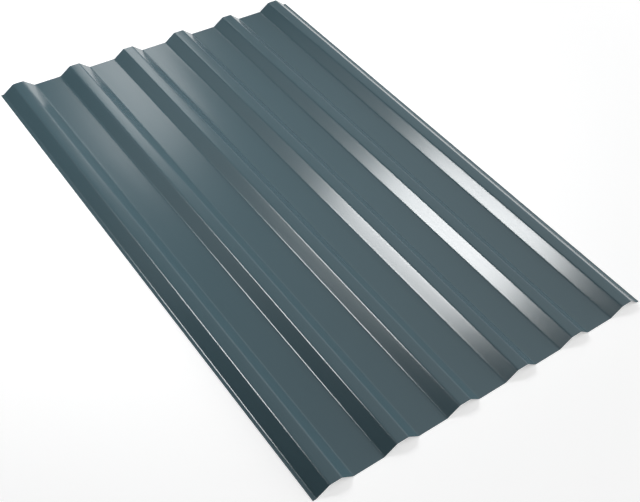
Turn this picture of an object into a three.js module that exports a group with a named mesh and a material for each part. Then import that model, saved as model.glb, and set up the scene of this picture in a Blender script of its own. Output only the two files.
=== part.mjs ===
// Box-rib roofing and cladding sheet: one strip of pre-painted steel, roll formed
// into trapezoidal ribs that run its whole length, with square-cut ends.
//
// Millimetres. X runs across the sheet, Y along the ribs and Z up. The origin is
// under the middle of the sheet, in the plane that its valleys lie on.

import * as THREE from 'three';

// The strip that the sheet is rolled from.
const SHEET_LENGTH = 1760;
const GAUGE = 0.5;

// The rolled section. Its widths and its depth are taken on the middle line of the
// gauge, between the corners where the straight stretches would meet.
const RIB_COUNT = 6;
const RIB_PITCH = 200;
const RIB_DEPTH = 28;
const CREST_WIDTH = 35;
const WEB_RUN = 36;
const LEFT_LIP_WIDTH = 9.5;
const RIGHT_LIP_WIDTH = 7.5;
const BEND_INSIDE_RADIUS = 5;

// Facets of a bend. A circular arc is drawn with twice this many chords.
const CURVE_SEGMENTS = 3;

const HALF_GAUGE = GAUGE / 2;
const BEND_RADIUS = BEND_INSIDE_RADIUS + HALF_GAUGE;

/** The corners of the section's middle line, from the left edge to the right edge. */
function middleLineCorners() {
  const ribFootWidth = WEB_RUN + CREST_WIDTH + WEB_RUN;
  const ribbedWidth = (RIB_COUNT - 1) * RIB_PITCH + ribFootWidth;
  const overallWidth = LEFT_LIP_WIDTH + ribbedWidth + RIGHT_LIP_WIDTH;
  const leftEdge = -overallWidth / 2;
  const rightEdge = overallWidth / 2;
  const valleyHeight = HALF_GAUGE;
  const crestHeight = HALF_GAUGE + RIB_DEPTH;

  const corners = [new THREE.Vector2(leftEdge, valleyHeight)];
  for (let rib = 0; rib < RIB_COUNT; rib += 1) {
    const leftFoot = leftEdge + LEFT_LIP_WIDTH + rib * RIB_PITCH;
    const rightFoot = leftFoot + ribFootWidth;
    corners.push(
      new THREE.Vector2(leftFoot, valleyHeight),
      new THREE.Vector2(leftFoot + WEB_RUN, crestHeight),
      new THREE.Vector2(rightFoot - WEB_RUN, crestHeight),
      new THREE.Vector2(rightFoot, valleyHeight),
    );
  }
  corners.push(new THREE.Vector2(rightEdge, valleyHeight));
  return corners;
}

/** The direction from one corner to the next, as an angle from +X. */
function heading(from, to) {
  return Math.atan2(to.y - from.y, to.x - from.x);
}

/**
 * The bend that rounds a corner of the middle line. Both faces of the sheet bend
 * about its centre. turn is 1 where the sheet turns up, with the centre above it,
 * and -1 where it turns down.
 */
function bendAt(previous, corner, next) {
  const headingIn = heading(previous, corner);
  const headingOut = heading(corner, next);
  const turn = Math.sign(headingOut - headingIn);
  const setback = BEND_RADIUS * Math.tan(Math.abs(headingOut - headingIn) / 2);
  const centre = new THREE.Vector2(-setback, turn * BEND_RADIUS);
  centre.rotateAround(new THREE.Vector2(), headingIn);
  centre.add(corner);
  return {
    centre,
    turn,
    startAngle: headingIn - turn * Math.PI / 2,
    endAngle: headingOut - turn * Math.PI / 2,
  };
}

/** The closed outline of the section: out along the upper face, back along the lower. */
function sectionOutline() {
  const corners = middleLineCorners();
  const leftEdge = corners[0];
  const rightEdge = corners[corners.length - 1];
  const bends = [];
  for (let i = 1; i < corners.length - 1; i += 1) {
    bends.push(bendAt(corners[i - 1], corners[i], corners[i + 1]));
  }

  const outline = new THREE.Shape();
  for (const { centre, turn, startAngle, endAngle } of bends) {
    const radius = BEND_RADIUS - turn * HALF_GAUGE;
    outline.absarc(centre.x, centre.y, radius, startAngle, endAngle, turn < 0);
  }
  outline.lineTo(rightEdge.x, rightEdge.y + HALF_GAUGE);
  outline.lineTo(rightEdge.x, rightEdge.y - HALF_GAUGE);
  for (const { centre, turn, startAngle, endAngle } of bends.reverse()) {
    const radius = BEND_RADIUS + turn * HALF_GAUGE;
    outline.absarc(centre.x, centre.y, radius, endAngle, startAngle, turn > 0);
  }
  outline.lineTo(leftEdge.x, leftEdge.y - HALF_GAUGE);
  outline.lineTo(leftEdge.x, leftEdge.y + HALF_GAUGE);
  return outline;
}

/** The sheet, rolled along Y. */
function profiledSheet() {
  const geometry = new THREE.ExtrudeGeometry(sectionOutline(), {
    depth: SHEET_LENGTH,
    curveSegments: CURVE_SEGMENTS,
    bevelEnabled: false,
  });
  const topcoat = new THREE.MeshStandardMaterial({
    color: 0x4a5e66,
    roughness: 0.4,
    metalness: 0,
  });
  const sheet = new THREE.Mesh(geometry, topcoat);
  sheet.name = 'profiled_sheet';
  // The section is drawn in XY and extruded along Z, so it is stood up and the
  // length is centred on the origin.
  sheet.rotation.x = Math.PI / 2;
  sheet.position.y = SHEET_LENGTH / 2;
  return sheet;
}

const boxRibSheet = new THREE.Group();
boxRibSheet.add(profiledSheet());

export default boxRibSheet;
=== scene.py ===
"""Box-rib roofing sheet: pre-painted steel, roll formed into trapezoidal ribs.

Run as a script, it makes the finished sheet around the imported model, and its studio.
Lengths are in metres. X runs across the sheet, Y along its ribs and Z up.
"""

import math
from typing import NamedTuple

import bpy
from bpy.props import (
    FloatProperty,
    FloatVectorProperty,
    IntProperty,
    PointerProperty,
)
from mathutils import Matrix, Vector


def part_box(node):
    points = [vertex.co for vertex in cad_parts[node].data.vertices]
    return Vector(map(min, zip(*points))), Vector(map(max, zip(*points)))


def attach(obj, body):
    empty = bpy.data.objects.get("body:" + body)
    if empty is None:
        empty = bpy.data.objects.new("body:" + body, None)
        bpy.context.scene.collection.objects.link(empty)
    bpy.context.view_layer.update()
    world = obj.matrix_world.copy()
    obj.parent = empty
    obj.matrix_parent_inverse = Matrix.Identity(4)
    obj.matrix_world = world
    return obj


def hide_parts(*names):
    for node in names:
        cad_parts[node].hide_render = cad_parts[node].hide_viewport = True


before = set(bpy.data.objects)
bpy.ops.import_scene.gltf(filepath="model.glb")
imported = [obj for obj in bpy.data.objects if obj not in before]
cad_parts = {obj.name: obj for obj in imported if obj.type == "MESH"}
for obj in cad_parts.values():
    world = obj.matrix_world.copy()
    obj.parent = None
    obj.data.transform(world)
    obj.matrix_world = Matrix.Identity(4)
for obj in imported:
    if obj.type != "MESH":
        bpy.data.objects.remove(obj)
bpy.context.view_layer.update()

bl_info = {
    "name": "Box-Rib Sheet",
    "version": (1, 0, 0),
    "blender": (4, 5, 0),
    "location": "3D View > Sidebar > Box-Rib Sheet",
    "description": "Makes a roll-formed, pre-painted box-rib sheet and its studio",
    "category": "Add Mesh",
}

SHEET_NODE = "profiled_sheet"
SHEET_LOW, SHEET_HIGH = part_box(SHEET_NODE)
SHEET_WIDTH, SHEET_LENGTH, SHEET_HEIGHT = SHEET_HIGH - SHEET_LOW
STRIP_GAUGE = 0.0005

# The sheet has four corners to a rib: foot, shoulder, shoulder, foot.
CORNERS_PER_RIB = 4

# The swells of one valley are this far from the next one's in the noise, and the noise
# runs from flat to fully swollen between these values.
SWELL_STEP = 3.7
SWELL_RANGE = (0.38, 0.62)

# Edges that turn by more than this are the sharp edges of the rim.
RIM_ANGLE = math.radians(45.0)

# Corners of the closed sheet that are nearer than this are one corner.
WELD_DISTANCE = 0.00001

PAINT_IOR = 1.75

# The mottle's share in the tone of the paint. The roller streaks have the rest.
MOTTLE_SHARE = 0.6

# The streaks follow the ribs, as their noise changes this much more slowly along Y.
STREAK_STRETCH = 0.02

# The sheared grain of the cut edge: how fine and how deep it is, its darkest and its
# lightest tone as shares of the zinc's colour, and its roughness and how far that goes
# up from there.
GRAIN_SCALE = 900.0
GRAIN_DEPTH = 0.00004
GRAIN_TONES = (0.6, 1.3)
GRAIN_ROUGHNESS = 0.3
GRAIN_ROUGHNESS_SPREAD = 0.3

# Where the camera stands, what it looks at and how it is turned about its sight line.
CAMERA_PLACE = Vector((-1.3008, -1.7022, 1.9622))
CAMERA_TARGET = Vector((-0.0938, -0.2557, 0.0140))
CAMERA_ROLL = math.radians(5.693)
CAMERA_LENS = 53.70
CAMERA_SENSOR = 36.0

FLOOR_WIDTH = 60.0

# The floor lies this far under the sheet, so that the two never share a plane.
FLOOR_DROP = 0.0002

# The floor's colour strays softly between these shares of itself.
FLOOR_TONES = (0.99, 1.01)
FLOOR_TONE_SCALE = 3.0

# The floor grows lighter between these distances from the middle of the sheet.
FLOOR_FADE = (0.7, 3.5)

# The pale backdrop fades out between these heights in the sky, given as sines.
BACKDROP_EDGE = (0.12, 0.20)

WHITE = (1.0, 1.0, 1.0, 1.0)


class Lamp(NamedTuple):
    """A rectangular soft lamp. Angles are in degrees, and azimuths run from +Y to +X.

    The radiance is the lamp's mean over all directions. A beam narrower than 180
    degrees is brighter in its middle and dies away to its sides, as behind a grid.
    """

    name: str
    aim: tuple
    azimuth: float
    elevation: float
    distance: float
    roll: float
    width: float
    height: float
    radiance: float
    beam: float = 180.0


class Glow(NamedTuple):
    """A softly lit side of the room, which dies away between the cosines in fade."""

    side: Vector
    fade: tuple
    level: float


GLOWS = {
    "Side Wall": Glow(side=Vector((0.79, 0.20, 0.59)), fade=(0.70, 0.98), level=0.50),
    "Near Wall": Glow(side=Vector((0.80, -0.56, 0.21)), fade=(0.62, 0.95), level=2.8),
    "Ceiling": Glow(side=Vector((0.0, 0.0, 1.0)), fade=(0.84, 0.97), level=0.20),
}

MIDDLE = (0.0, 0.0)

LAMPS = (
    Lamp(
        name="Key Lamp",
        aim=(0.3, 0.35),
        azimuth=-65.8,
        elevation=51.8,
        distance=3.0,
        roll=22.5,
        width=1.15,
        height=0.95,
        radiance=3.07,
        beam=80.0,
    ),
    Lamp(
        name="Far Lamp",
        aim=MIDDLE,
        azimuth=22.0,
        elevation=31.5,
        distance=12.0,
        roll=10.0,
        width=1.46,
        height=3.5,
        radiance=2.8,
    ),
    Lamp(
        name="Left Lamp",
        aim=MIDDLE,
        azimuth=-38.0,
        elevation=40.0,
        distance=4.2,
        roll=0.0,
        width=2.4,
        height=2.4,
        radiance=0.33,
    ),
)


# ----------------------------------------------------------------------------
# Properties
# ----------------------------------------------------------------------------


class SheetSizes(bpy.types.PropertyGroup):
    """The rolled section, its relief and the mesh that it is made in"""

    rib_count: IntProperty(
        name="Rib Count", description="Ribs across the sheet", default=6, min=1
    )
    rib_pitch: FloatProperty(
        name="Rib Pitch",
        description="Distance from one rib to the next",
        default=0.200,
        subtype="DISTANCE",
    )
    rib_depth: FloatProperty(
        name="Rib Depth",
        description="Height of a crest above a valley",
        default=SHEET_HEIGHT - STRIP_GAUGE,
        subtype="DISTANCE",
    )
    crest_width: FloatProperty(
        name="Crest Width",
        description="Width of a rib's flat top, corner to corner",
        default=0.035,
        subtype="DISTANCE",
    )
    web_run: FloatProperty(
        name="Web Run",
        description="Distance across the sheet that a sloping web takes",
        default=0.036,
        subtype="DISTANCE",
    )
    left_lip: FloatProperty(
        name="Left Lip",
        description="Flat margin outside the first rib",
        default=0.0095,
        subtype="DISTANCE",
    )
    overall_width: FloatProperty(
        name="Overall Width",
        description="Width of the rolled sheet, edge to edge",
        default=SHEET_WIDTH,
        subtype="DISTANCE",
    )
    length: FloatProperty(
        name="Length",
        description="Length of the sheet along its ribs",
        default=SHEET_LENGTH,
        subtype="DISTANCE",
    )
    gauge: FloatProperty(
        name="Gauge",
        description="Thickness of the painted strip",
        default=STRIP_GAUGE,
        subtype="DISTANCE",
    )
    bend_radius: FloatProperty(
        name="Bend Radius",
        description="Radius of a bend on the middle of the gauge",
        default=0.0100,
        subtype="DISTANCE",
    )
    bend_facets: IntProperty(
        name="Bend Facets", description="Facets of a bend", default=14, min=2
    )
    crest_crown: FloatProperty(
        name="Crest Crown",
        description="How much lower a crest's shoulders are than its middle",
        default=0.00015,
        subtype="DISTANCE",
    )
    valley_swell: FloatProperty(
        name="Valley Swell",
        description="Height of the soft swells along the middle of a valley",
        default=0.0002,
        subtype="DISTANCE",
    )
    swell_length: FloatProperty(
        name="Swell Length",
        description="Length of a soft swell along the sheet",
        default=0.45,
        subtype="DISTANCE",
    )
    end_fade: FloatProperty(
        name="End Fade",
        description="Distance from each end over which the swells die away",
        default=0.15,
        subtype="DISTANCE",
    )
    swell_seed: IntProperty(
        name="Swell Seed", description="Chooses where the swells come", default=7
    )
    facet_width: FloatProperty(
        name="Facet Width",
        description="Widest facet of a flat stretch of the section",
        default=0.006,
        subtype="DISTANCE",
    )
    facet_length: FloatProperty(
        name="Facet Length",
        description="Length of a facet along the ribs",
        default=0.035,
        subtype="DISTANCE",
    )


class SheetFinish(bpy.types.PropertyGroup):
    """The coats on the strip"""

    topcoat_colour: FloatVectorProperty(
        name="Topcoat Colour",
        description="Colour of the weather side",
        subtype="COLOR",
        default=(0.066, 0.119, 0.142),
        min=0.0,
        max=1.0,
    )
    topcoat_roughness: FloatProperty(
        name="Topcoat Roughness",
        description="Roughness of the weather side",
        subtype="FACTOR",
        default=0.20,
        min=0.0,
        max=1.0,
    )
    backing_colour: FloatVectorProperty(
        name="Backing Colour",
        description="Colour of the wash coat on the underside",
        subtype="COLOR",
        default=(0.52, 0.53, 0.52),
        min=0.0,
        max=1.0,
    )
    backing_roughness: FloatProperty(
        name="Backing Roughness",
        description="Roughness of the wash coat on the underside",
        subtype="FACTOR",
        default=0.42,
        min=0.0,
        max=1.0,
    )
    # The cut edge is far darker than bare zinc. Part of that is the grey of oxidised
    # zinc, and part is painted shade for the dark line that the cut edges show.
    zinc_and_shade_colour: FloatVectorProperty(
        name="Cut Edge Colour",
        description="Colour of the bare metal on the cut edges",
        subtype="COLOR",
        default=(0.15, 0.155, 0.16),
        min=0.0,
        max=1.0,
    )


class StudioSettings(bpy.types.PropertyGroup):
    """The floor and the light"""

    floor_colour: FloatVectorProperty(
        name="Floor Colour",
        description="Colour of the pale floor",
        subtype="COLOR",
        default=(0.86, 0.86, 0.86),
        min=0.0,
        max=1.0,
    )
    floor_lift: FloatProperty(
        name="Floor Lift",
        description="Light that the floor adds where it is seen or mirrored",
        default=0.38,
        min=0.0,
    )
    far_lift: FloatProperty(
        name="Far Floor Lift",
        description="Further light that the floor adds far from the sheet",
        default=0.28,
        min=0.0,
    )
    room_level: FloatProperty(
        name="Room Level",
        description="Multiplies the brightness of every lit side of the room",
        default=1.0,
        min=0.0,
    )
    shade_level: FloatProperty(
        name="Shade Level",
        description="Brightness of the rest of the room",
        default=0.03,
        min=0.0,
    )
    backdrop_level: FloatProperty(
        name="Backdrop Level",
        description="Brightness of the pale backdrop where it is seen or mirrored",
        default=0.95,
        min=0.0,
    )
    lamp_level: FloatProperty(
        name="Lamp Level",
        description="Multiplies the brightness of every lamp",
        default=1.0,
        min=0.0,
    )
    lamp_colour: FloatVectorProperty(
        name="Lamp Colour",
        description="Colour of every lamp, a slightly cool white",
        subtype="COLOR",
        default=(0.985, 0.995, 1.0),
        min=0.0,
        max=1.0,
    )


# ----------------------------------------------------------------------------
# Node trees
# ----------------------------------------------------------------------------


def plug(tree, value, socket):
    """Links a field or a socket into another socket, or sets it to a plain value."""
    if isinstance(value, Field):
        value = value.socket
    if isinstance(value, bpy.types.NodeSocket):
        tree.links.new(value, socket)
    else:
        socket.default_value = value


def add_node(tree, kind, inputs=(), **settings):
    """Adds a node, with its settings first and then its inputs by name or number."""
    node = tree.nodes.new(kind)
    for name, value in settings.items():
        setattr(node, name, value)
    for key, value in dict(inputs).items():
        plug(tree, value, node.inputs[key])
    return node


class Field:
    """A number in a node tree. Arithmetic on it adds Math nodes to the tree."""

    def __init__(self, tree, socket):
        self.tree = tree
        self.socket = socket

    def maths(self, operation, *terms):
        inputs = enumerate((self, *terms))
        node = add_node(self.tree, "ShaderNodeMath", inputs, operation=operation)
        return Field(self.tree, node.outputs[0])

    def __add__(self, other):
        return self.maths("ADD", other)

    def __sub__(self, other):
        return self.maths("SUBTRACT", other)

    def __mul__(self, other):
        return self.maths("MULTIPLY", other)

    def __truediv__(self, other):
        return self.maths("DIVIDE", other)

    def floor(self):
        return self.maths("FLOOR")

    def above(self, limit):
        """1 where the number is over the limit, and 0 elsewhere."""
        return self.maths("GREATER_THAN", limit)

    def clamp(self, low, high):
        return self.maths("MAXIMUM", low).maths("MINIMUM", high)


def tree_inputs(tree, properties):
    """Gives a geometry tree an input for each number in a PropertyGroup."""
    kinds = {"INT": "NodeSocketInt", "FLOAT": "NodeSocketFloat"}
    for prop in properties.bl_rna.properties:
        if prop.type in kinds:
            tree.interface.new_socket(
                prop.name, in_out="INPUT", socket_type=kinds[prop.type]
            )


def read_position(tree):
    """The X, Y and Z of each point."""
    position = add_node(tree, "GeometryNodeInputPosition").outputs[0]
    parts = add_node(tree, "ShaderNodeSeparateXYZ", {0: position}).outputs
    return [Field(tree, part) for part in parts]


def vector(tree, x=0.0, y=0.0, z=0.0):
    """A vector made of three numbers."""
    return add_node(tree, "ShaderNodeCombineXYZ", {0: x, 1: y, 2: z}).outputs[0]


def ramp_up(tree, value, low, high):
    """0 where a number is under low, 1 where it is over high, and smooth between."""
    inputs = {"Value": value, "From Min": low, "From Max": high}
    ramp = add_node(
        tree, "ShaderNodeMapRange", inputs, interpolation_type="SMOOTHSTEP"
    )
    return Field(tree, ramp.outputs[0])


# ----------------------------------------------------------------------------
# The rolled sheet
# ----------------------------------------------------------------------------


def section_curve(tree, size):
    """The middle line of the section, as a curve in XZ with its corners rounded."""
    index = Field(tree, add_node(tree, "GeometryNodeInputIndex").outputs[0])
    corner = index - 1.0
    rib = (corner / CORNERS_PER_RIB).floor()
    # The phase is 0 at a rib's first foot, 1 and 2 at its shoulders and 3 at its last.
    phase = corner - rib * CORNERS_PER_RIB
    past_foot = phase.above(0.5)
    past_shoulder = phase.above(1.5)
    past_crest = phase.above(2.5)

    right_edge = size["Overall Width"] / 2.0
    left_edge = right_edge * -1.0
    x = (
        left_edge
        + size["Left Lip"]
        + size["Rib Pitch"] * rib
        + size["Web Run"] * (past_foot + past_crest)
        + size["Crest Width"] * past_shoulder
    ).clamp(left_edge, right_edge)
    z = size["Gauge"] / 2.0 + size["Rib Depth"] * (past_foot - past_crest)

    count = size["Rib Count"] * CORNERS_PER_RIB + 2.0
    line = add_node(tree, "GeometryNodeMeshLine", {"Count": count})
    placed = add_node(
        tree,
        "GeometryNodeSetPosition",
        {"Geometry": line.outputs[0], "Position": vector(tree, x=x, z=z)},
    )
    curve = add_node(tree, "GeometryNodeMeshToCurve", {"Mesh": placed.outputs[0]})
    rounded = add_node(
        tree,
        "GeometryNodeFilletCurve",
        {
            "Curve": curve.outputs[0],
            "Count": size["Bend Facets"],
            "Radius": size["Bend Radius"],
        },
        mode="POLY",
    )
    return cut_to_facets(tree, rounded.outputs[0], size["Facet Width"])


def cut_to_facets(tree, curve, facet_width):
    """Cuts the long stretches of a curve into pieces no longer than facet_width."""
    position = add_node(tree, "GeometryNodeInputPosition").outputs[0]
    following = add_node(tree, "GeometryNodeOffsetPointInCurve", {"Offset": 1})
    next_position = add_node(
        tree,
        "GeometryNodeFieldAtIndex",
        {"Value": position, "Index": following.outputs["Point Index"]},
        data_type="FLOAT_VECTOR",
    )
    gap = add_node(
        tree,
        "ShaderNodeVectorMath",
        {0: position, 1: next_position.outputs[0]},
        operation="DISTANCE",
    )
    cuts = (Field(tree, gap.outputs["Value"]) / facet_width).floor()
    cut = add_node(tree, "GeometryNodeSubdivideCurve", {"Curve": curve, "Cuts": cuts})
    return cut.outputs[0]


def swept_surface(tree, curve, size):
    """The section carried along Y, as a grid with one column for each of its points."""
    domain = add_node(tree, "GeometryNodeAttributeDomainSize", component="CURVE")
    plug(tree, curve, domain.inputs[0])
    columns = domain.outputs["Point Count"]
    rows = (size["Length"] / size["Facet Length"]).floor() + 2.0
    grid = add_node(
        tree,
        "GeometryNodeMeshGrid",
        {"Size Y": size["Length"], "Vertices X": columns, "Vertices Y": rows},
    )
    index = Field(tree, add_node(tree, "GeometryNodeInputIndex").outputs[0])
    sample = add_node(
        tree,
        "GeometryNodeSampleIndex",
        {
            "Geometry": curve,
            "Value": add_node(tree, "GeometryNodeInputPosition").outputs[0],
            "Index": (index / rows).floor(),
        },
        data_type="FLOAT_VECTOR",
    )
    section = add_node(tree, "ShaderNodeSeparateXYZ", {0: sample.outputs[0]}).outputs
    along = read_position(tree)[1]
    swept = add_node(
        tree,
        "GeometryNodeSetPosition",
        {
            "Geometry": grid.outputs[0],
            "Position": vector(tree, section[0], along, section[2]),
        },
    )
    return swept.outputs[0]


def with_relief(tree, surface, size):
    """Crowns the crests and swells the valleys, where the rolled strip springs back."""
    x, y, z = read_position(tree)
    past_first_foot = x + size["Overall Width"] / 2.0 - size["Left Lip"]
    rib = (past_first_foot / size["Rib Pitch"]).floor()
    past_foot = past_first_foot - rib * size["Rib Pitch"]
    height = (z - size["Gauge"] / 2.0) / size["Rib Depth"]

    half_crest = size["Crest Width"] / 2.0
    off_crest = (past_foot - size["Web Run"] - half_crest) / half_crest
    crown_drop = (off_crest * off_crest).maths("MINIMUM", 1.0) * height

    half_valley = size["Rib Pitch"] / 2.0 - size["Web Run"] - half_crest
    off_valley = (past_foot - size["Rib Pitch"] + half_valley) / half_valley
    bulge = (off_valley * off_valley * -1.0 + 1.0).clamp(0.0, 1.0)
    place = vector(
        tree, rib * SWELL_STEP + size["Swell Seed"], y / size["Swell Length"]
    )
    noise = add_node(tree, "ShaderNodeTexNoise", {"Vector": place, "Scale": 1.0})
    swell = ramp_up(tree, noise.outputs["Fac"], *SWELL_RANGE) * bulge * bulge
    # Ribs count from 0, and the swells stay between the first rib and the last.
    between_ribs = rib.above(-0.5) * (size["Rib Count"] - rib).above(1.5)
    from_end = size["Length"] / 2.0 - y.maths("ABSOLUTE")
    swell = swell * between_ribs * ramp_up(tree, from_end, 0.0, size["End Fade"])

    lift = swell * size["Valley Swell"] - crown_drop * size["Crest Crown"]
    relieved = add_node(
        tree,
        "GeometryNodeSetPosition",
        {"Geometry": surface, "Offset": vector(tree, z=lift)},
    )
    return relieved.outputs[0]


def gauge_thick(tree, surface, gauge):
    """A closed sheet of the strip's gauge about a surface, with masks of its faces."""
    normal = add_node(tree, "GeometryNodeInputNormal").outputs[0]
    drop = add_node(
        tree,
        "ShaderNodeVectorMath",
        {0: normal, "Scale": gauge * -0.5},
        operation="SCALE",
    )
    lower = add_node(
        tree,
        "GeometryNodeSetPosition",
        {"Geometry": surface, "Offset": drop.outputs[0]},
    ).outputs[0]
    raised = add_node(
        tree,
        "GeometryNodeExtrudeMesh",
        {"Mesh": lower, "Offset Scale": gauge, "Individual": False},
    )
    underside = add_node(tree, "GeometryNodeFlipFaces", {"Mesh": lower}).outputs[0]
    joined = add_node(tree, "GeometryNodeJoinGeometry")
    for part in (raised.outputs["Mesh"], underside):
        tree.links.new(part, joined.inputs[0])
    closed = add_node(
        tree,
        "GeometryNodeMergeByDistance",
        {"Geometry": joined.outputs[0], "Distance": WELD_DISTANCE},
    )
    return closed.outputs[0], raised.outputs["Top"], raised.outputs["Side"]


def smooth_within(tree, mesh, limit):
    """Shades a mesh smooth, with its edges sharp where they turn by more than limit."""
    smooth = add_node(tree, "GeometryNodeSetShadeSmooth", {"Geometry": mesh})
    turn = add_node(tree, "GeometryNodeInputMeshEdgeAngle").outputs["Unsigned Angle"]
    sharp = add_node(
        tree,
        "GeometryNodeSetShadeSmooth",
        {
            "Geometry": smooth.outputs[0],
            "Selection": Field(tree, turn).above(limit),
            "Shade Smooth": False,
        },
        domain="EDGE",
    )
    return sharp.outputs[0]


def rolled_sheet_tree(sizes, topcoat, backing, cut_edge):
    """The geometry tree that makes the sheet from its sizes."""
    tree = bpy.data.node_groups.new("Rolled Sheet", "GeometryNodeTree")
    tree_inputs(tree, sizes)
    tree.interface.new_socket(
        "Geometry", in_out="OUTPUT", socket_type="NodeSocketGeometry"
    )
    entry = add_node(tree, "NodeGroupInput")
    size = {s.name: Field(tree, s) for s in entry.outputs if s.name}

    curve = section_curve(tree, size)
    surface = with_relief(tree, swept_surface(tree, curve, size), size)
    sheet, top, side = gauge_thick(tree, surface, size["Gauge"])
    shaded = smooth_within(tree, sheet, RIM_ANGLE)
    finished = add_node(tree, "GeometryNodeRealizeInstances", {"Geometry": shaded})
    for material, faces in ((backing, None), (topcoat, top), (cut_edge, side)):
        finished = add_node(
            tree,
            "GeometryNodeSetMaterial",
            {"Geometry": finished.outputs[0], "Material": material},
        )
        if faces:
            plug(tree, faces, finished.inputs["Selection"])
    add_node(tree, "NodeGroupOutput", {0: finished.outputs[0]})
    return tree


def roll_mesh(tree, sizes):
    """Runs the tree once and returns its result as a plain mesh."""
    blank = bpy.data.objects.new("strip", bpy.data.meshes.new("strip"))
    bpy.context.collection.objects.link(blank)
    modifier = blank.modifiers.new("Rolled Sheet", "NODES")
    modifier.node_group = tree
    values = {p.name: getattr(sizes, p.identifier) for p in sizes.bl_rna.properties}
    for item in tree.interface.items_tree:
        if item.in_out == "INPUT":
            modifier[item.identifier] = values[item.name]
    graph = bpy.context.evaluated_depsgraph_get()
    mesh = bpy.data.meshes.new_from_object(blank.evaluated_get(graph))
    bpy.data.objects.remove(blank)
    if mesh.materials[0] is None:
        mesh.materials.pop(index=0)
    return mesh


# ----------------------------------------------------------------------------
# Finishes
# ----------------------------------------------------------------------------


def new_material(name):
    """An empty node material with its Principled BSDF."""
    material = bpy.data.materials.new(name)
    material.use_nodes = True
    tree = material.node_tree
    return material, tree, tree.nodes["Principled BSDF"]


def coat_texture_group():
    """Coil coating: a soft mottle, lengthwise roller streaks and fine orange peel."""
    tree = bpy.data.node_groups.new("Coil Coating", "ShaderNodeTree")
    interface = tree.interface
    for name, default in (
        ("Mottle Size", 0.15),
        ("Streak Width", 0.004),
        ("Peel Size", 0.002),
    ):
        socket = interface.new_socket(
            name, in_out="INPUT", socket_type="NodeSocketFloat"
        )
        socket.default_value = default
    for name in ("Mottle", "Streaks", "Peel"):
        interface.new_socket(name, in_out="OUTPUT", socket_type="NodeSocketFloat")

    entry = add_node(tree, "NodeGroupInput")
    size = {s.name: Field(tree, s) for s in entry.outputs if s.name}
    place = add_node(tree, "ShaderNodeTexCoord").outputs["Object"]
    stretch = vector(tree, x=1.0, y=STREAK_STRETCH, z=1.0)
    stretched = add_node(
        tree, "ShaderNodeVectorMath", {0: place, 1: stretch}, operation="MULTIPLY"
    ).outputs[0]

    def noise(where, width, detail):
        """Noise whose spots are about as wide as width."""
        one = Field(tree, add_node(tree, "ShaderNodeValue").outputs[0])
        one.socket.default_value = 1.0
        node = add_node(
            tree,
            "ShaderNodeTexNoise",
            {"Vector": where, "Scale": one / width, "Detail": detail},
        )
        return node.outputs["Fac"]

    add_node(
        tree,
        "NodeGroupOutput",
        {
            "Mottle": noise(place, size["Mottle Size"], detail=2.0),
            "Streaks": noise(stretched, size["Streak Width"], detail=3.0),
            "Peel": noise(place, size["Peel Size"], detail=1.0),
        },
    )
    return tree


def scaled(colour, factor):
    """A colour made lighter or darker, as an opaque RGBA."""
    return (*(channel * factor for channel in colour), 1.0)


def painted(name, colour, roughness, coating, spread, gloss_spread, peel_height):
    """A coat of paint. Its colour strays by the share in spread, either way."""
    material, tree, shader = new_material(name)
    texture = add_node(tree, "ShaderNodeGroup", node_tree=coating)
    mottle = Field(tree, texture.outputs["Mottle"])
    streaks = Field(tree, texture.outputs["Streaks"])
    tone = mottle * MOTTLE_SHARE + streaks * (1.0 - MOTTLE_SHARE)
    colour_mix = add_node(
        tree,
        "ShaderNodeMix",
        {
            "Factor": tone,
            6: scaled(colour, 1.0 - spread),
            7: scaled(colour, 1.0 + spread),
        },
        data_type="RGBA",
    )
    gloss = (streaks - 0.5) * gloss_spread + roughness
    bump = add_node(
        tree,
        "ShaderNodeBump",
        {"Height": texture.outputs["Peel"], "Distance": peel_height, "Strength": 1.0},
    )
    plug(tree, colour_mix.outputs[2], shader.inputs["Base Color"])
    plug(tree, gloss, shader.inputs["Roughness"])
    plug(tree, bump.outputs[0], shader.inputs["Normal"])
    shader.inputs["IOR"].default_value = PAINT_IOR
    return material


def bare_zinc(name, colour):
    """The cut edge: galvanised steel with a sheared grain."""
    material, tree, shader = new_material(name)
    place = add_node(tree, "ShaderNodeTexCoord").outputs["Object"]
    noise = add_node(
        tree,
        "ShaderNodeTexNoise",
        {"Vector": place, "Scale": GRAIN_SCALE, "Detail": 3.0},
    )
    grain = noise.outputs["Fac"]
    dark, light = (scaled(colour, tone) for tone in GRAIN_TONES)
    colour_mix = add_node(
        tree, "ShaderNodeMix", {"Factor": grain, 6: dark, 7: light}, data_type="RGBA"
    )
    roughness = Field(tree, grain) * GRAIN_ROUGHNESS_SPREAD + GRAIN_ROUGHNESS
    bump = add_node(
        tree, "ShaderNodeBump", {"Height": grain, "Distance": GRAIN_DEPTH}
    )
    shader.inputs["Metallic"].default_value = 1.0
    plug(tree, colour_mix.outputs[2], shader.inputs["Base Color"])
    plug(tree, roughness, shader.inputs["Roughness"])
    plug(tree, bump.outputs[0], shader.inputs["Normal"])
    return material


# ----------------------------------------------------------------------------
# The studio
# ----------------------------------------------------------------------------


def link_object(name, data):
    """Makes an object and puts it in the scene."""
    made = bpy.data.objects.new(name, data)
    bpy.context.scene.collection.objects.link(made)
    return made


def aimed(place, target, roll):
    """The matrix of a camera or lamp at a place, facing a target."""
    facing = (target - place).to_track_quat("-Z", "Y").to_matrix().to_4x4()
    return Matrix.Translation(place) @ facing @ Matrix.Rotation(roll, 4, "Z")


def add_camera():
    """Stands the camera and makes it the scene's."""
    camera = bpy.data.cameras.new("Camera")
    camera.sensor_width = CAMERA_SENSOR
    camera.lens = CAMERA_LENS
    holder = link_object("Camera", camera)
    holder.matrix_world = aimed(CAMERA_PLACE, CAMERA_TARGET, CAMERA_ROLL)
    bpy.context.scene.camera = holder


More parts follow.
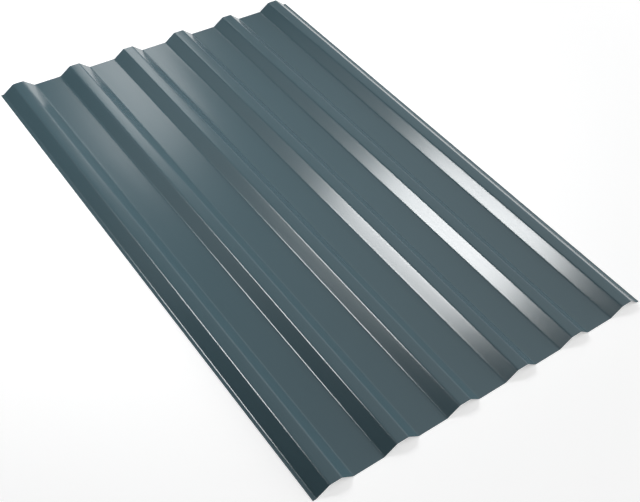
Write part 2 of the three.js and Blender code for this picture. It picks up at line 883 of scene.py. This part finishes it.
def add_lamp(lamp, level, colour):
    """Hangs a rectangular soft lamp."""
    azimuth = math.radians(lamp.azimuth)
    elevation = math.radians(lamp.elevation)
    direction = Vector(
        (
            math.sin(azimuth) * math.cos(elevation),
            math.cos(azimuth) * math.cos(elevation),
            math.sin(elevation),
        )
    )
    light = bpy.data.lights.new(lamp.name, "AREA")
    light.shape = "RECTANGLE"
    light.size = lamp.width
    light.size_y = lamp.height
    light.energy = level * lamp.radiance * math.pi * lamp.width * lamp.height
    light.spread = math.radians(lamp.beam)
    light.color = colour
    target = Vector((*lamp.aim, 0.0))
    place = target + direction * lamp.distance
    holder = link_object(lamp.name, light)
    holder.matrix_world = aimed(place, target, math.radians(lamp.roll))


def seen_or_mirrored(tree):
    """1 for rays from the camera, from gloss and through glass, and 0 for the rest."""
    path = add_node(tree, "ShaderNodeLightPath")
    camera = Field(tree, path.outputs["Is Camera Ray"])
    gloss = Field(tree, path.outputs["Is Glossy Ray"])
    glass = Field(tree, path.outputs["Is Transmission Ray"])
    return (camera + gloss + glass).maths("MINIMUM", 1.0)


def add_floor(settings):
    """Lays a wide pale floor, just under the sheet."""
    material, tree, shader = new_material("Studio Floor")
    shader.inputs["Roughness"].default_value = 1.0
    shader.inputs["Specular IOR Level"].default_value = 0.0
    place = add_node(tree, "ShaderNodeTexCoord").outputs["Object"]
    noise = add_node(
        tree, "ShaderNodeTexNoise", {"Vector": place, "Scale": FLOOR_TONE_SCALE}
    )
    dark, light = (scaled(settings.floor_colour, tone) for tone in FLOOR_TONES)
    colour_mix = add_node(
        tree,
        "ShaderNodeMix",
        {"Factor": noise.outputs["Fac"], 6: dark, 7: light},
        data_type="RGBA",
    )
    plug(tree, colour_mix.outputs[2], shader.inputs["Base Color"])
    distance = add_node(tree, "ShaderNodeVectorMath", {0: place}, operation="LENGTH")
    far = ramp_up(tree, distance.outputs["Value"], *FLOOR_FADE)
    lift = seen_or_mirrored(tree) * (far * settings.far_lift + settings.floor_lift)
    plug(tree, WHITE, shader.inputs["Emission Color"])
    plug(tree, lift, shader.inputs["Emission Strength"])

    half = FLOOR_WIDTH / 2
    height = SHEET_LOW.z - FLOOR_DROP
    turns = ((-1, -1), (1, -1), (1, 1), (-1, 1))
    corners = [(x * half, y * half, height) for x, y in turns]
    mesh = bpy.data.meshes.new("studio_floor")
    mesh.from_pydata(corners, [], [(0, 1, 2, 3)])
    mesh.materials.append(material)
    link_object("studio_floor", mesh)


def light_room(settings):
    """Sets the world: a dim room with softly lit sides and a pale low backdrop."""
    world = bpy.data.worlds.new("Studio Room")
    bpy.context.scene.world = world
    world.use_nodes = True
    tree = world.node_tree
    direction = add_node(tree, "ShaderNodeTexCoord").outputs["Generated"]
    height = add_node(tree, "ShaderNodeSeparateXYZ", {0: direction}).outputs["Z"]
    room = settings.shade_level
    for name, glow in GLOWS.items():
        facing = add_node(
            tree,
            "ShaderNodeVectorMath",
            {0: direction, 1: glow.side.normalized()},
            operation="DOT_PRODUCT",
            label=name,
        )
        lit = ramp_up(tree, facing.outputs["Value"], *glow.fade)
        room = lit * (glow.level * settings.room_level) + room
    below = ramp_up(tree, height, *BACKDROP_EDGE) * -1.0 + 1.0
    backdrop = below * seen_or_mirrored(tree)
    level = (room * -1.0 + settings.backdrop_level) * backdrop + room
    background = tree.nodes["Background"]
    plug(tree, WHITE, background.inputs["Color"])
    plug(tree, level, background.inputs["Strength"])


# ----------------------------------------------------------------------------
# Operators and panel
# ----------------------------------------------------------------------------


class SHEET_OT_roll_form(bpy.types.Operator):
    """Roll forms the painted strip into the ribbed sheet"""

    bl_idname = "sheet.roll_form"
    bl_label = "Roll Form Sheet"

    def execute(self, context):
        sizes = context.scene.sheet_sizes
        finish = context.scene.sheet_finish
        coating = coat_texture_group()
        topcoat = painted(
            "Topcoat",
            finish.topcoat_colour,
            finish.topcoat_roughness,
            coating,
            spread=0.04,
            gloss_spread=0.05,
            peel_height=0.000002,
        )
        backing = painted(
            "Backing Coat",
            finish.backing_colour,
            finish.backing_roughness,
            coating,
            spread=0.08,
            gloss_spread=0.1,
            peel_height=0.000006,
        )
        # The cut edge's colour carries painted shade as well as the grey of oxidised
        # zinc.
        cut_edge = bare_zinc("Cut Edge", finish.zinc_and_shade_colour)
        tree = rolled_sheet_tree(sizes, topcoat, backing, cut_edge)
        mesh = roll_mesh(tree, sizes)
        if not mesh.polygons:
            raise RuntimeError("the Rolled Sheet tree made no faces")
        mesh.name = "rolled_sheet"
        sheet = link_object("rolled_sheet", mesh)
        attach(sheet, "root")
        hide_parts(SHEET_NODE)
        return {"FINISHED"}


class SHEET_OT_set_studio(bpy.types.Operator):
    """Lays the pale floor, hangs the soft lamps and stands the camera"""

    bl_idname = "sheet.set_studio"
    bl_label = "Set Up Studio"

    def execute(self, context):
        settings = context.scene.sheet_studio
        context.scene.view_settings.view_transform = "Standard"
        add_camera()
        add_floor(settings)
        light_room(settings)
        for lamp in LAMPS:
            add_lamp(lamp, settings.lamp_level, settings.lamp_colour)
        return {"FINISHED"}


class SHEET_PT_sidebar(bpy.types.Panel):
    """The sheet's sizes, finish and studio"""

    bl_label = "Box-Rib Sheet"
    bl_space_type = "VIEW_3D"
    bl_region_type = "UI"
    bl_category = "Box-Rib Sheet"

    def draw(self, context):
        layout = self.layout
        for settings, operator in (
            (context.scene.sheet_sizes, None),
            (context.scene.sheet_finish, SHEET_OT_roll_form.bl_idname),
            (context.scene.sheet_studio, SHEET_OT_set_studio.bl_idname),
        ):
            column = layout.column(align=True)
            for name in settings.__annotations__:
                column.prop(settings, name)
            if operator:
                layout.operator(operator)


CLASSES = (
    SheetSizes,
    SheetFinish,
    StudioSettings,
    SHEET_OT_roll_form,
    SHEET_OT_set_studio,
    SHEET_PT_sidebar,
)


def register():
    for cls in CLASSES:
        bpy.utils.register_class(cls)
    bpy.types.Scene.sheet_sizes = PointerProperty(type=SheetSizes)
    bpy.types.Scene.sheet_finish = PointerProperty(type=SheetFinish)
    bpy.types.Scene.sheet_studio = PointerProperty(type=StudioSettings)


def unregister():
    del bpy.types.Scene.sheet_studio
    del bpy.types.Scene.sheet_finish
    del bpy.types.Scene.sheet_sizes
    for cls in reversed(CLASSES):
        bpy.utils.unregister_class(cls)


def main():
    register()
    bpy.ops.sheet.roll_form()
    bpy.ops.sheet.set_studio()


if __name__ == "__main__":
    main()
